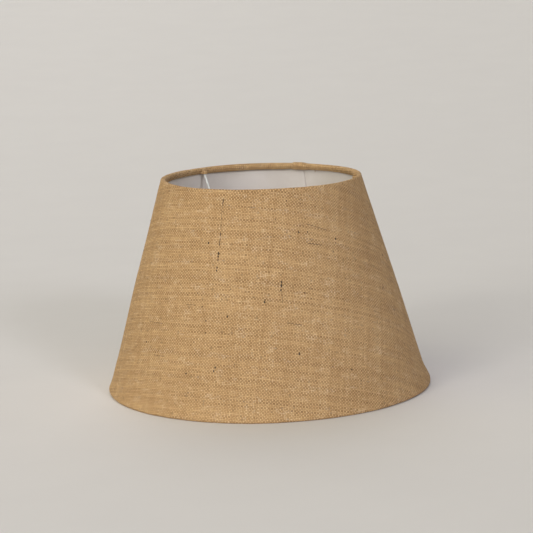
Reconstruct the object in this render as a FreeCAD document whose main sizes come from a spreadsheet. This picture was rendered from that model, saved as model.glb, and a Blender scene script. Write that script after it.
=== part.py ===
import FreeCAD, Part
import math
import os

import Sketcher

# A tapered hardback lamp shade that stands on its wide end.
# A jute panel laminated to a white PVC lining is rolled into a cone and closed by an overlapped,
# taped seam. Its two edges are turned in over steel wire rings. Three wires welded to the top
# ring drop to a pressed steel ring that sits on the lampholder.
# Frame: the origin is on the axis at table height, +Z is up, and -Y is the front.

Vector = FreeCAD.Vector

# Millimetres and degrees. Azimuths turn from +X towards +Y.
DRIVING = {
    "bottom_radius": 175.0,
    "top_radius": 107.5,
    "height": 230.0,
    "cloth": 0.9,
    "lining": 0.3,
    "glue": 0.03,
    "wire": 2.5,
    "ring_tape": 0.2,
    "hem": 8.0,
    "rest_flat": 0.16,
    "lap_width": 15.0,
    "lap_height": 1.3,
    "seam_azimuth": 68.0,
    "seam_tape_width": 12.5,
    "seam_tape_thickness": 0.2,
    "strut_azimuth": 8.0,
    "strut_bend": 6.0,
    "strut_foot": 6.0,
    "strut_play": 0.3,
    "slit_length": 12.0,
    "fitter_level": 80.0,
    "fitter_hole_radius": 21.0,
    "fitter_radius": 29.0,
    "fitter_thickness": 1.5,
    "fitter_edge": 0.4,
}
STRUTS = 3

document = FreeCAD.newDocument("lamp_shade")


def fill_sheet():
    """The spreadsheet that every size is bound to."""
    sheet = document.addObject("Spreadsheet::Sheet", "sizes")
    for row, (word, value) in enumerate(DRIVING.items(), start=1):
        sheet.set(f"A{row}", word)
        sheet.set(f"B{row}", str(value))
        sheet.setAlias(f"B{row}", word)
    document.recompute()


def cell(word):
    """A driving dimension as an expression reads it."""
    return f"sizes.{word}"


# Expressions that several pieces share. The cone's outer face is the cloth's, and an offset is
# measured square to that face, towards the axis.
TAPER = "((sizes.bottom_radius - sizes.top_radius) / sizes.height)"
LINING_OFFSET = "(sizes.cloth + sizes.glue)"
LINING_INNER = f"({LINING_OFFSET} + sizes.lining + sizes.glue)"
WRAP = f"({LINING_INNER} + sizes.ring_tape + sizes.wire / 2)"
TOP_RING_LEVEL = f"(sizes.height - {WRAP})"
BOTTOM_RING_LEVEL = f"({WRAP} - sizes.rest_flat)"
LINING_INSET = f"({LINING_INNER} / cos(atan({TAPER})))"
LINING_FOOT = f"({BOTTOM_RING_LEVEL} + sizes.wire / 2)"
STRUT_LEVEL = "(sizes.fitter_level + sizes.fitter_thickness + sizes.wire / 2)"
STRUT_START = "(sizes.fitter_hole_radius + sizes.wire / 2)"


def face_radius(level, offset):
    """The radius of the cone's face at a level, moved in by an offset, as an expression."""
    return f"(sizes.bottom_radius - {TAPER} * {level} - {offset} / cos(atan({TAPER})))"


def value_of(expression):
    """The present value of an expression, to place geometry before its constraints are solved."""
    return float(document.getObject("sizes").evalExpression(expression.replace("sizes.", "")))


TOP_RING_RADIUS = face_radius(TOP_RING_LEVEL, WRAP)
BOTTOM_RING_RADIUS = face_radius(BOTTOM_RING_LEVEL, WRAP)


def bind(item, **expressions):
    """Ties properties of an object to the sheet."""
    for property_name, expression in expressions.items():
        item.setExpression(property_name.replace("__", "."), expression)


def origin_part(body, role):
    """A plane or an axis of a body's own origin."""
    return next(part for part in body.Origin.OriginFeatures if part.Role == role)


def new_body(label):
    body = document.addObject("PartDesign::Body", label)
    body.Label = label
    return body


def new_sketch(body, label, role):
    """A sketch on one of a body's origin planes. On the XZ plane, x is radius and y is level."""
    sketch = body.newObject("Sketcher::SketchObject", label)
    sketch.AttachmentSupport = [(origin_part(body, role), "")]
    sketch.MapMode = "FlatFace"
    return sketch


def hold(sketch, label, expression, *constraint):
    """Adds a dimension to a sketch and ties it to the sheet."""
    index = sketch.addConstraint(Sketcher.Constraint(*constraint, value_of(expression)))
    sketch.renameConstraint(index, label)
    sketch.setExpression(f"Constraints.{label}", expression)


def fix(sketch, *constraint):
    sketch.addConstraint(Sketcher.Constraint(*constraint))


def place_point(sketch, label, edge, end, radius, level):
    """Holds one end of an edge at a radius and a level."""
    hold(sketch, f"{label}_radius", radius, "DistanceX", -1, 1, edge, end)
    hold(sketch, f"{label}_level", level, "DistanceY", -1, 1, edge, end)


def line(sketch, start, end, construction=False):
    segment = Part.LineSegment(Vector(*start, 0), Vector(*end, 0))
    return sketch.addGeometry(segment, construction)


def arc(sketch, centre, radius, first, last):
    """An arc that runs anticlockwise between two angles, in degrees."""
    circle = Part.Circle(Vector(*centre, 0), Vector(0, 0, 1), radius)
    return sketch.addGeometry(Part.ArcOfCircle(circle, math.radians(first), math.radians(last)))


def polar(centre, radius, degrees):
    angle = math.radians(degrees)
    return (centre[0] + radius * math.cos(angle), centre[1] + radius * math.sin(angle))


def revolve(body, sketch, label):
    """Turns a profile once round the upright axis."""
    feature = body.newObject("PartDesign::Revolution", label)
    feature.Profile = sketch
    feature.ReferenceAxis = (sketch, ["V_Axis"])
    feature.Angle = 360
    document.recompute()
    return feature


def tangent_angle(centre, radius, point, side):
    """The angle, seen from a circle's centre, at which a line through a point touches it."""
    away = (point[0] - centre[0], point[1] - centre[1])
    heading = math.degrees(math.atan2(away[1], away[0]))
    return heading + side * math.degrees(math.acos(radius / math.hypot(*away)))


def strut_cut(body, label):
    """Opens a body where the struts leave the top ring, with a little play round each wire."""
    foot_end = f"({STRUT_START} + sizes.strut_foot)"
    centre_level = f"({STRUT_LEVEL} + sizes.strut_bend)"
    rise = f"({TOP_RING_LEVEL} - {centre_level})"
    run = f"({TOP_RING_RADIUS} - {foot_end})"
    slope = f"(atan({rise} / {run}) + asin(sizes.strut_bend / sqrt({rise} ^ 2 + {run} ^ 2)))"
    hole = body.newObject("PartDesign::SubtractiveCylinder", label)
    hole.Placement.Rotation = FreeCAD.Rotation(Vector(0, 1, 0), 1)
    bind(
        hole,
        Radius="sizes.wire / 2 + sizes.strut_play",
        Height=cell("slit_length"),
        Placement__Base__x=TOP_RING_RADIUS,
        Placement__Base__z=TOP_RING_LEVEL,
        Placement__Rotation__Angle=f"270 deg - {slope}",
    )
    document.recompute()
    pattern = body.newObject("PartDesign::PolarPattern", f"{label}_pattern")
    pattern.Originals = [hole]
    pattern.Axis = (origin_part(body, "Z_Axis"), [""])
    pattern.Angle = 360
    pattern.Occurrences = STRUTS
    body.Tip = pattern
    bind(body, Placement__Rotation__Angle=cell("strut_azimuth"))
    document.recompute()


def cloth_profile(sketch):
    """The cloth's section: a straight wall with an edge hooked round each wire ring."""
    wrap = value_of(WRAP)
    inner_wrap = wrap - value_of(cell("cloth"))
    height = value_of(cell("height"))
    hem = value_of(cell("hem"))
    lean = math.degrees(math.atan(value_of(TAPER)))
    top = (value_of(TOP_RING_RADIUS), value_of(TOP_RING_LEVEL))
    bottom = (value_of(BOTTOM_RING_RADIUS), value_of(BOTTOM_RING_LEVEL))
    top_tip = (value_of(face_radius(f"({height} - {hem})", LINING_INNER)), height - hem)
    bottom_tip = (value_of(face_radius(str(hem), LINING_INNER)), hem)
    top_turn = tangent_angle(top, inner_wrap, top_tip, -1) + 360
    bottom_turn = tangent_angle(bottom, inner_wrap, bottom_tip, 1)
    rest_angle = math.degrees(math.acos(bottom[1] / wrap))
    low_left = (bottom[0] - wrap * math.sin(math.radians(rest_angle)), 0)
    low_right = (bottom[0] + wrap * math.sin(math.radians(rest_angle)), 0)

    wall_outer = line(sketch, polar(bottom, wrap, lean), polar(top, wrap, lean))
    top_outer = arc(sketch, top, wrap, lean, top_turn)
    top_end = polar(top_tip, wrap - inner_wrap, top_turn)
    top_flap_out = line(sketch, polar(top, wrap, top_turn), top_end)
    top_flap_end = line(sketch, top_end, top_tip)
    top_flap_in = line(sketch, top_tip, polar(top, inner_wrap, top_turn))
    top_inner = arc(sketch, top, inner_wrap, lean, top_turn)
    wall_inner = line(sketch, polar(top, inner_wrap, lean), polar(bottom, inner_wrap, lean))
    bottom_inner = arc(sketch, bottom, inner_wrap, bottom_turn, lean + 360)
    bottom_flap_in = line(sketch, polar(bottom, inner_wrap, bottom_turn), bottom_tip)
    bottom_end = polar(bottom_tip, wrap - inner_wrap, bottom_turn)
    bottom_flap_end = line(sketch, bottom_tip, bottom_end)
    bottom_flap_out = line(sketch, bottom_end, polar(bottom, wrap, bottom_turn))
    bottom_left = arc(sketch, bottom, wrap, bottom_turn, 270 - rest_angle)
    rest = line(sketch, low_left, low_right)
    bottom_right = arc(sketch, bottom, wrap, 270 + rest_angle, lean + 360)
    bottom_radius = value_of(cell("bottom_radius"))
    top_radius = value_of(cell("top_radius"))
    face = line(sketch, (bottom_radius, 0), (top_radius, height), construction=True)
    inset = value_of(LINING_INSET)
    backing = line(sketch, (bottom_radius - inset, 0), (top_radius - inset, height), construction=True)

    for first, first_end, second, second_end in (
        (wall_outer, 2, top_outer, 1),
        (top_outer, 2, top_flap_out, 1),
        (top_flap_in, 2, top_inner, 2),
        (top_inner, 1, wall_inner, 1),
        (wall_inner, 2, bottom_inner, 2),
        (bottom_inner, 1, bottom_flap_in, 1),
        (bottom_flap_out, 2, bottom_left, 1),
        (bottom_right, 2, wall_outer, 1),
    ):
        fix(sketch, "Tangent", first, first_end, second, second_end)
    for first, second in (
        (top_flap_out, top_flap_end),
        (top_flap_end, top_flap_in),
        (bottom_flap_in, bottom_flap_end),
        (bottom_flap_end, bottom_flap_out),
        (bottom_left, rest),
        (rest, bottom_right),
    ):
        fix(sketch, "Coincident", first, 2, second, 1)
    fix(sketch, "Coincident", top_outer, 3, top_inner, 3)
    fix(sketch, "Coincident", bottom_inner, 3, bottom_left, 3)
    fix(sketch, "Coincident", bottom_inner, 3, bottom_right, 3)
    fix(sketch, "PointOnObject", rest, 1, -1)
    fix(sketch, "PointOnObject", rest, 2, -1)
    fix(sketch, "Parallel", top_flap_out, top_flap_in)
    fix(sketch, "Perpendicular", top_flap_end, top_flap_in)
    fix(sketch, "Parallel", bottom_flap_out, bottom_flap_in)
    fix(sketch, "Perpendicular", bottom_flap_end, bottom_flap_in)

    place_point(sketch, "face_foot", face, 1, cell("bottom_radius"), "0")
    place_point(sketch, "face_head", face, 2, cell("top_radius"), cell("height"))
    place_point(sketch, "backing_foot", backing, 1, f"sizes.bottom_radius - {LINING_INSET}", "0")
    place_point(sketch, "backing_head", backing, 2, f"sizes.top_radius - {LINING_INSET}", cell("height"))
    fix(sketch, "PointOnObject", wall_outer, 1, face)
    fix(sketch, "PointOnObject", wall_outer, 2, face)
    fix(sketch, "PointOnObject", top_flap_in, 1, backing)
    fix(sketch, "PointOnObject", bottom_flap_in, 2, backing)
    hold(sketch, "top_hem", "sizes.height - sizes.hem", "DistanceY", -1, 1, top_flap_in, 1)
    hold(sketch, "bottom_hem", cell("hem"), "DistanceY", -1, 1, bottom_flap_in, 2)
    hold(sketch, "top_centre", TOP_RING_LEVEL, "DistanceY", -1, 1, top_outer, 3)
    hold(sketch, "bottom_centre", BOTTOM_RING_LEVEL, "DistanceY", -1, 1, bottom_inner, 3)
    hold(sketch, "top_wrap", WRAP, "Radius", top_outer)
    hold(sketch, "bottom_wrap_left", WRAP, "Radius", bottom_left)
    hold(sketch, "bottom_wrap_right", WRAP, "Radius", bottom_right)
    hold(sketch, "top_wrap_inner", f"{WRAP} - sizes.cloth", "Radius", top_inner)
    hold(sketch, "bottom_wrap_inner", f"{WRAP} - sizes.cloth", "Radius", bottom_inner)


def cone_band(label, offset, thickness, low, high):
    """A body: a layer of the cone between two levels, an offset in from the cloth's face."""
    body = new_body(label)
    sketch = new_sketch(body, f"{label}_profile", "XZ_Plane")
    inner_offset = f"({offset} + {thickness})"
    corners = (
        (face_radius(low, offset), low),
        (face_radius(high, offset), high),
        (face_radius(high, inner_offset), high),
        (face_radius(low, inner_offset), low),
    )
    points = [(value_of(radius), value_of(level)) for radius, level in corners]
    for index, start in enumerate(points):
        line(sketch, start, points[(index + 1) % len(points)])
    for index in range(len(points)):
        fix(sketch, "Coincident", index, 2, (index + 1) % len(points), 1)
    for index, (radius, level) in enumerate(corners):
        place_point(sketch, f"corner_{index + 1}", index, 1, radius, level)
    revolve(body, sketch, f"{label}_turn")
    return body


def seam_strip(label, offset, thickness, width, low, high):
    """A layer of the cone cut down to a strip of even width along the seam."""
    band = cone_band(f"{label}_band", offset, thickness, low, high)
    slab = document.addObject("Part::Box", f"{label}_slab")
    bind(
        slab,
        Length=cell("bottom_radius") + " * 2",
        Width=width,
        Height=cell("height"),
    )
    slab.Placement.Rotation = FreeCAD.Rotation(Vector(0, 0, 1), 1)
    bind(
        slab,
        Placement__Rotation__Angle=cell("seam_azimuth"),
        Placement__Base__x=f"sin(sizes.seam_azimuth * 1 deg) * {width} / 2",
        Placement__Base__y=f"-cos(sizes.seam_azimuth * 1 deg) * {width} / 2",
    )
    strip = document.addObject("Part::Common", label)
    strip.Base = band
    strip.Tool = slab
    strip.Label = label
    document.recompute()
    return strip


def make_seam_tape():
    """Double-sided tape that closes the seam, between the cloth and the lining."""
    return seam_strip(
        "seam_tape",
        "(sizes.cloth - sizes.seam_tape_thickness)",
        cell("seam_tape_thickness"),
        cell("seam_tape_width"),
        "(sizes.hem + 2)",
        "(sizes.height - sizes.hem - 2)",
    )


def make_jute_cover():
    """The jute panel: the hooked section turned round the axis, the seam's raised lap, a recess
    for the seam tape, and a slit in the top hem at each strut."""
    wall = new_body("cover_wall")
    sketch = new_sketch(wall, "cloth_section", "XZ_Plane")
    cloth_profile(sketch)
    revolve(wall, sketch, "cloth_turn")
    strut_cut(wall, "hem_slit")
    lap = seam_strip(
        "seam_lap",
        "(-sizes.lap_height)",
        "(sizes.lap_height + sizes.cloth / 2)",
        cell("lap_width"),
        BOTTOM_RING_LEVEL,
        TOP_RING_LEVEL,
    )
    recess = seam_strip(
        "tape_recess",
        "(sizes.cloth - sizes.seam_tape_thickness - sizes.glue)",
        "(sizes.seam_tape_thickness + 2 * sizes.glue)",
        "(sizes.seam_tape_width + 2 * sizes.glue)",
        "(sizes.hem + 2 - sizes.glue)",
        "(sizes.height - sizes.hem - 2 + sizes.glue)",
    )
    joined = document.addObject("Part::Fuse", "wall_with_lap")
    joined.Base = wall
    joined.Tool = lap
    cover = document.addObject("Part::Cut", "jute_cover")
    cover.Base = joined
    cover.Tool = recess
    return cover


def make_pvc_lining():
    """The white sheet that the jute is laminated to. It ends behind the two wire rings."""
    return cone_band("pvc_lining", LINING_OFFSET, cell("lining"), LINING_FOOT, TOP_RING_LEVEL)


def make_wire_ring(label, radius, level):
    """A ring of round wire, closed by a butt weld."""
    ring = document.addObject("Part::Torus", label)
    bind(ring, Radius1=radius, Radius2="sizes.wire / 2", Placement__Base__z=level)
    return ring


def make_ring_tape(label, radius, level, has_struts):
    """Adhesive tape wrapped round a wire ring, which the turned edge sticks to."""
    body = new_body(label)
    sketch = new_sketch(body, f"{label}_section", "XZ_Plane")
    centre = Vector(value_of(radius), value_of(level), 0)
    wire_radius = value_of("sizes.wire / 2")
    for index, (word, size) in enumerate((("inside", "sizes.glue"), ("outside", "sizes.ring_tape"))):
        extent = f"sizes.wire / 2 + {size}"
        sketch.addGeometry(Part.Circle(centre, Vector(0, 0, 1), wire_radius + value_of(size)))
        place_point(sketch, word, index, 3, radius, level)
        hold(sketch, f"{word}_reach", extent, "Radius", index)
    revolve(body, sketch, f"{label}_turn")
    if has_struts:
        strut_cut(body, f"{label}_gap")
    return body


def make_fitter_ring():
    """The pressed steel ring that the lampholder's collar clamps."""
    body = new_body("fitter_ring")
    sketch = new_sketch(body, "fitter_outline", "XY_Plane")
    for index, word in enumerate(("fitter_radius", "fitter_hole_radius")):
        sketch.addGeometry(Part.Circle(Vector(0, 0, 0), Vector(0, 0, 1), value_of(cell(word))))
        fix(sketch, "Coincident", index, 3, -1, 1)
        hold(sketch, word, cell(word), "Radius", index)
    plate = body.newObject("PartDesign::Pad", "fitter_plate")
    plate.Profile = sketch
    bind(plate, Length=cell("fitter_thickness"))
    document.recompute()
    outer_radius = value_of(cell("fitter_radius"))
    outer_edges = [
        f"Edge{number}"
        for number, edge in enumerate(plate.Shape.Edges, start=1)
        if math.isclose(getattr(edge.Curve, "Radius", 0), outer_radius)
    ]
    rounded = body.newObject("PartDesign::Fillet", "fitter_rounding")
    rounded.Base = (plate, outer_edges)
    bind(rounded, Radius=cell("fitter_edge"))
    bind(body, Placement__Base__z=cell("fitter_level"))
    document.recompute()
    return body


def make_strut(number):
    """A wire from the fitter ring's top face to the top ring, welded at both ends."""
    label = f"fitter_strut_{number}"
    body = new_body(label)
    path = new_sketch(body, f"{label}_path", "XZ_Plane")
    start = (value_of(STRUT_START), value_of(STRUT_LEVEL))
    foot_end = (start[0] + value_of(cell("strut_foot")), start[1])
    bend = value_of(cell("strut_bend"))
    centre = (foot_end[0], foot_end[1] + bend)
    top = (value_of(TOP_RING_RADIUS), value_of(TOP_RING_LEVEL))
    away = (top[0] - centre[0], top[1] - centre[1])
    heading = math.degrees(math.atan2(away[1], away[0]) + math.asin(bend / math.hypot(*away)))
    foot = line(path, start, foot_end)
    elbow = arc(path, centre, bend, -90, heading - 90)
    rise = line(path, polar(centre, bend, heading - 90), top)
    fix(path, "Horizontal", foot)
    fix(path, "Tangent", foot, 2, elbow, 1)
    fix(path, "Tangent", elbow, 2, rise, 1)
    place_point(path, "start", foot, 1, STRUT_START, STRUT_LEVEL)
    place_point(path, "weld", rise, 2, TOP_RING_RADIUS, TOP_RING_LEVEL)
    hold(path, "foot_length", cell("strut_foot"), "Distance", foot)
    hold(path, "elbow_radius", cell("strut_bend"), "Radius", elbow)

    section = new_sketch(body, f"{label}_section", "YZ_Plane")
    section.AttachmentOffset.Base = Vector(0, 0, start[0])
    bind(section, AttachmentOffset__Base__z=STRUT_START)
    section.addGeometry(Part.Circle(Vector(0, start[1], 0), Vector(0, 0, 1), value_of("sizes.wire / 2")))
    fix(section, "PointOnObject", 0, 3, -2)
    hold(section, "level", STRUT_LEVEL, "DistanceY", -1, 1, 0, 3)
    hold(section, "wire_radius", "sizes.wire / 2", "Radius", 0)
    document.recompute()

    wire = body.newObject("PartDesign::AdditivePipe", f"{label}_wire")
    wire.Profile = section
    wire.Spine = (path, [])
    document.recompute()

    ring_section = new_sketch(body, f"{label}_ring_section", "XZ_Plane")
    ring_section.addGeometry(Part.Circle(Vector(*top, 0), Vector(0, 0, 1), value_of("sizes.wire / 2")))
    place_point(ring_section, "ring", 0, 3, TOP_RING_RADIUS, TOP_RING_LEVEL)
    hold(ring_section, "ring_wire", "sizes.wire / 2", "Radius", 0)
    saddle = body.newObject("PartDesign::Groove", f"{label}_saddle")
    saddle.Profile = ring_section
    saddle.ReferenceAxis = (ring_section, ["V_Axis"])
    saddle.Angle = 360
    bind(body, Placement__Rotation__Angle=f"sizes.strut_azimuth + {(number - 1) * 360 // STRUTS}")
    document.recompute()
    return body


def check_and_write(pieces):
    """Stops on a failed object or a bad shape, then writes one STEP file for each piece."""
    document.recompute()
    for item in document.Objects:
        if {"Invalid", "Error"} & set(item.State):
            raise RuntimeError(f"{item.Label} failed: {item.State}")
    os.makedirs("parts", exist_ok=True)
    for piece in pieces:
        shape = piece.Shape
        if shape.isNull() or not shape.isValid():
            raise RuntimeError(f"{piece.Label} has no valid shape")
        shape.exportStep(f"parts/{piece.Label}.step")
        print(f"{piece.Label}: {len(shape.Solids)} solid, {shape.Volume / 1000:.3f} cm3")


fill_sheet()
check_and_write(
    [
        make_jute_cover(),
        make_pvc_lining(),
        make_seam_tape(),
        make_wire_ring("top_ring", TOP_RING_RADIUS, TOP_RING_LEVEL),
        make_wire_ring("bottom_ring", BOTTOM_RING_RADIUS, BOTTOM_RING_LEVEL),
        make_ring_tape("top_ring_tape", TOP_RING_RADIUS, TOP_RING_LEVEL, has_struts=True),
        make_ring_tape("bottom_ring_tape", BOTTOM_RING_RADIUS, BOTTOM_RING_LEVEL, has_struts=False),
        make_fitter_ring(),
        *[make_strut(number) for number in range(1, STRUTS + 1)],
    ]
)
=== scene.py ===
"""A round tapered lamp shade: jute cloth rolled over two wire rings, a white lining and a wire fitter.

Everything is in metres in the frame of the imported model: +Z up, the wide rim standing on z = 0.
"""

import math

import bpy
import numpy as np
from mathutils import Matrix, Vector


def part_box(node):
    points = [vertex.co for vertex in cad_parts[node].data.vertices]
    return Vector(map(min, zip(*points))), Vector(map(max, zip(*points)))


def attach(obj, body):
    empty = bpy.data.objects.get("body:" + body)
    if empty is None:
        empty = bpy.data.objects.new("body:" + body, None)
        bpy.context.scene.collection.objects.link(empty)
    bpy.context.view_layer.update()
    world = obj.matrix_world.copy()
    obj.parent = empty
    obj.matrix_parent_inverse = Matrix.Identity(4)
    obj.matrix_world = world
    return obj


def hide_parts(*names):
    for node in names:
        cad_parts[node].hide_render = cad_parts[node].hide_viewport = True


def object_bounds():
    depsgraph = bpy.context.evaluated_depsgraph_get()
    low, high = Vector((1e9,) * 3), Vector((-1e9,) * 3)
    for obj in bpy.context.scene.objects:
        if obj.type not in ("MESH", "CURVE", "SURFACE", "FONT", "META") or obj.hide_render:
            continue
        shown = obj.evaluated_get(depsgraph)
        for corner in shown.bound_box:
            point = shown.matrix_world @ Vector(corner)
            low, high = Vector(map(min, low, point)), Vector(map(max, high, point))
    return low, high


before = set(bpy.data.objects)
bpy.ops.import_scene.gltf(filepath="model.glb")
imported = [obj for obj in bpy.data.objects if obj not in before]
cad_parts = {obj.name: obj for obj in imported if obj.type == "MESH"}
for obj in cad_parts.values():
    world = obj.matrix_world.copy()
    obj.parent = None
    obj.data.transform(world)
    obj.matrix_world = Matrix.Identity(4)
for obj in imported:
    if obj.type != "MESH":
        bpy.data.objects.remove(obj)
cad_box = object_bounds()

MM = 0.001


def ring_line(node):
    """Radius and level of the centre line of a wire ring, and the radius of its wire."""
    low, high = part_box(node)
    wire = (high.z - low.z) / 2
    return high.x - wire, (high.z + low.z) / 2, wire


TOP_RADIUS, TOP_LEVEL, _ = ring_line("top_ring")
BOTTOM_RADIUS, BOTTOM_LEVEL, WIRE = ring_line("bottom_ring")
HEIGHT = cad_box[1].z
WRAP = HEIGHT - TOP_LEVEL                 # from a ring's centre line to the face of the cloth round it
LEAN = math.atan((BOTTOM_RADIUS - TOP_RADIUS) / (TOP_LEVEL - BOTTOM_LEVEL))

CLOTH = 0.9 * MM
LINING = 0.3 * MM
GLUE = 0.03 * MM
HEM_DROP = 6.1 * MM                       # from the rim to the edge of the cloth turned inside
HEM_STANDOFF = 2.8 * MM                   # how far that edge stands off the lining
FLARE = 0.9 * MM                          # how far the rolled foot stands out from the wall
FLARE_LENGTH = 11 * MM                    # how far up the wall that starts
FOOT_BULGE = 1.7 * MM                     # how much further it stands out at one place
FOOT_BULGE_RISE = 8 * MM                  # and how much further up the wall that place starts
FOOT_BULGE_AZIMUTH = math.radians(-8)
SWELL = 1.2 * MM                          # how far the wall stands out at the sides
RIM_CORNER = 0.55 * MM                    # how far the lining's edge holds the top rim's outer corner up
CORNER_TURN = (math.pi / 2 + LEAN) / 2    # direction of that corner, up from outwards
CORNER_WAY = np.array([math.cos(CORNER_TURN), math.sin(CORNER_TURN)])


def azimuth_of(node, lowest_level):
    """Azimuth in radians of the part of a node above a level."""
    points = np.array([v.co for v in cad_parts[node].data.vertices])
    x, y, _ = points[points[:, 2] > lowest_level].mean(axis=0)
    return math.atan2(y, x)


# The panel's two ends lap over each other along one seam: the outer end comes from smaller azimuths.
SEAM = azimuth_of("seam_tape", 0)
LAP_WIDTH = 15 * MM
LAP_CLIP = 4 * MM                         # cut off the outer end's corner, where it turns over the top ring
CLIP_LEVEL = HEIGHT - 9.5 * MM            # where that cut begins
LAP_ON_WALL = CLOTH + LINING + 0.06 * MM  # how far the outer end is held off where it crosses the inner
LAP_ON_RIM = CLOTH + 0.04 * MM
LAP_RAMP = math.radians(4)                # turn over which the outer end comes down beside the inner
GRAIN = SEAM - math.pi - math.radians(4)  # where the warp runs straight up the wall
STRUTS = tuple(azimuth_of(f"fitter_strut_{n}", TOP_LEVEL - 6 * MM) for n in (1, 2, 3))
THREAD_PITCH = 1.71 * MM


# ---------------------------------------------------------------- helpers for numbers


def smooth(value, low, high):
    """0 below low, 1 above high, and a smooth step between."""
    t = np.clip((value - low) / (high - low), 0, 1)
    return t * t * (3 - 2 * t)


def sum_of_waves(seed, around, along, waves=9, fastest=9):
    """A smooth uneven field over azimuth in radians and a level in radians, about -1 to 1."""
    draw = np.random.default_rng(seed)
    total = np.zeros(np.broadcast(around, along).shape)
    for _ in range(waves):
        turns = draw.integers(1, fastest + 1)
        rise = draw.uniform(-fastest, fastest) / 2
        start = draw.uniform(0, 2 * math.pi)
        total = total + np.sin(turns * around + rise * along + start) / math.sqrt(waves)
    return total


# ---------------------------------------------------------------- profile of the cloth


def local_to_plane(radius, level, outward, upward):
    """A point beside a ring, given along the wall's normal and up its slope, as (radius, height)."""
    r = radius + outward * math.cos(LEAN) - upward * math.sin(LEAN)
    z = level + outward * math.sin(LEAN) + upward * math.cos(LEAN)
    return r, z


def hem_curve(ring_radius, tip_out, tip_drop, steps):
    """Mid-line of a hem in a ring's own axes, from its free edge to the top of the outer wall.

    The free edge, or tip, is given by how far out and how far down from the ring's centre it lies.
    From there the cloth runs straight up to the ring, and round it to the outer wall.
    """
    tip = (tip_out, -tip_drop)
    reach = math.hypot(*tip)
    tip_angle = math.atan2(tip[1], tip[0])
    leave = tip_angle + 2 * math.pi - math.acos(ring_radius / reach)
    corner = (ring_radius * math.cos(leave), ring_radius * math.sin(leave))
    points = []
    for step in range(steps):
        share = step / steps
        points.append((tip[0] + (corner[0] - tip[0]) * share, tip[1] + (corner[1] - tip[1]) * share))
    turns = 3 * steps
    for step in range(turns + 1):
        angle = leave * (1 - step / turns)
        points.append((ring_radius * math.cos(angle), ring_radius * math.sin(angle)))
    return points


def cloth_profile(wall_rows=40, hem_steps=6):
    """Mid-line of the cloth from the top hem's edge to the bottom hem's edge.

    Returns its points as (radius, level), each one's distance down the slope from the cone's apex,
    and how much it belongs to the top hem: 1 at the free edge and 0 on the wall.
    """
    middle = WRAP - CLOTH / 2
    tip_out = WRAP - 1.5 * CLOTH - LINING - 2 * GLUE - HEM_STANDOFF
    drop = (HEM_DROP - WRAP) / math.cos(LEAN)
    hem = hem_curve(middle, tip_out, drop, hem_steps)
    top = [local_to_plane(TOP_RADIUS, TOP_LEVEL, a, b) for a, b in hem]
    bottom = [local_to_plane(BOTTOM_RADIUS, BOTTOM_LEVEL, a, -b) for a, b in reversed(hem)]
    wall = np.linspace(top[-1], bottom[0], wall_rows + 1)[1:-1]
    points = np.concatenate([top, wall, bottom])
    step = np.hypot(*np.diff(points, axis=0).T)
    path = np.concatenate([[0], np.cumsum(step)])
    apex_at_wall = (TOP_RADIUS + WRAP * math.cos(LEAN)) / math.sin(LEAN)
    slant = path - path[len(top) - 1] + apex_at_wall
    top_hem = np.clip(1 - np.arange(len(points)) / (hem_steps + 3), 0, 1)
    return points, slant, top_hem


def outward_of(points):
    """Unit vectors from the mid-line towards the face of the cloth that shows."""
    along = np.gradient(points, axis=0)
    along /= np.linalg.norm(along, axis=1)[:, None]
    return np.stack([-along[:, 1], along[:, 0]], axis=1)


# ---------------------------------------------------------------- the lapped panel


LAP_COLUMNS = 8


def panel_columns(count=400, fine=30, fine_span=7 * MM):
    """Shares of the panel's length at which it has columns, closer together beside struts and seam.

    Share 0 is the outer end, and the azimuth falls from there to the inner end at share 1.
    """
    shares = list(np.linspace(0, 1, count))
    lap = LAP_WIDTH / TOP_RADIUS
    start = SEAM + lap / 2
    turn = 2 * math.pi + lap
    for azimuth in STRUTS:
        middle = (start - azimuth) % (2 * math.pi) / turn
        half = fine_span / TOP_RADIUS / turn
        shares = [s for s in shares if abs(s - middle) > half]
        shares += list(np.linspace(middle - half, middle + half, fine))
    lap_share = lap / turn
    for k in range(1, LAP_COLUMNS * 3 // 2 + 1):
        from_end = lap_share * k / LAP_COLUMNS
        shares += [from_end, 1 - from_end]
    return np.unique(np.round(shares, 6))


def azimuths_at(shares, radius, clip):
    """Azimuth in radians of each column where the panel has the given radius and share of the clip."""
    inner_end = SEAM - LAP_WIDTH / radius / 2
    lap = (LAP_WIDTH - clip * LAP_CLIP) / radius
    return inner_end + lap - shares * (2 * math.pi + lap)


def corner_clip(points):
    """How much of the lap's corner is clipped off: all of it in the top hem, and none on the wall."""
    clip = smooth(points[:, 1], CLIP_LEVEL, TOP_LEVEL)
    clip[: np.argmax(points[:, 1])] = 1
    return clip


def lap_share_of(azimuth, radius):
    """1 where the outer end of the panel lies on the inner end, easing to 0 beside it."""
    inner_edge = SEAM - LAP_WIDTH / radius / 2
    return smooth(azimuth, inner_edge - LAP_RAMP, inner_edge)


def under_lap(shares, radius):
    """1 where the inner end of the panel lies under the outer end, easing to 0 beside it."""
    lap = LAP_WIDTH / radius
    lap_share = lap / (2 * math.pi + lap)
    return smooth(shares, 1 - 1.6 * lap_share, 1 - lap_share)


PUCKER = 4.6 * MM
PUCKER_CUT = (-2.1, -1.7)                 # millimetres round the ring from the strut where the push starts
PUCKER_EASE = (1.2, 4.4)                  # and where it fades out


def strut_pucker(azimuth, radius):
    """How far the turned hem is pushed inwards where it passes over a strut, from 0 to 1.

    One side of each pucker is a cut edge and the other eases back onto the lining.
    """
    push = np.zeros_like(azimuth)
    for strut in STRUTS:
        away = (azimuth - strut + math.pi) % (2 * math.pi) - math.pi
        along = away * radius / MM
        push = np.maximum(push, smooth(along, *PUCKER_CUT) * (1 - smooth(along, *PUCKER_EASE)))
    return push


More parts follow.
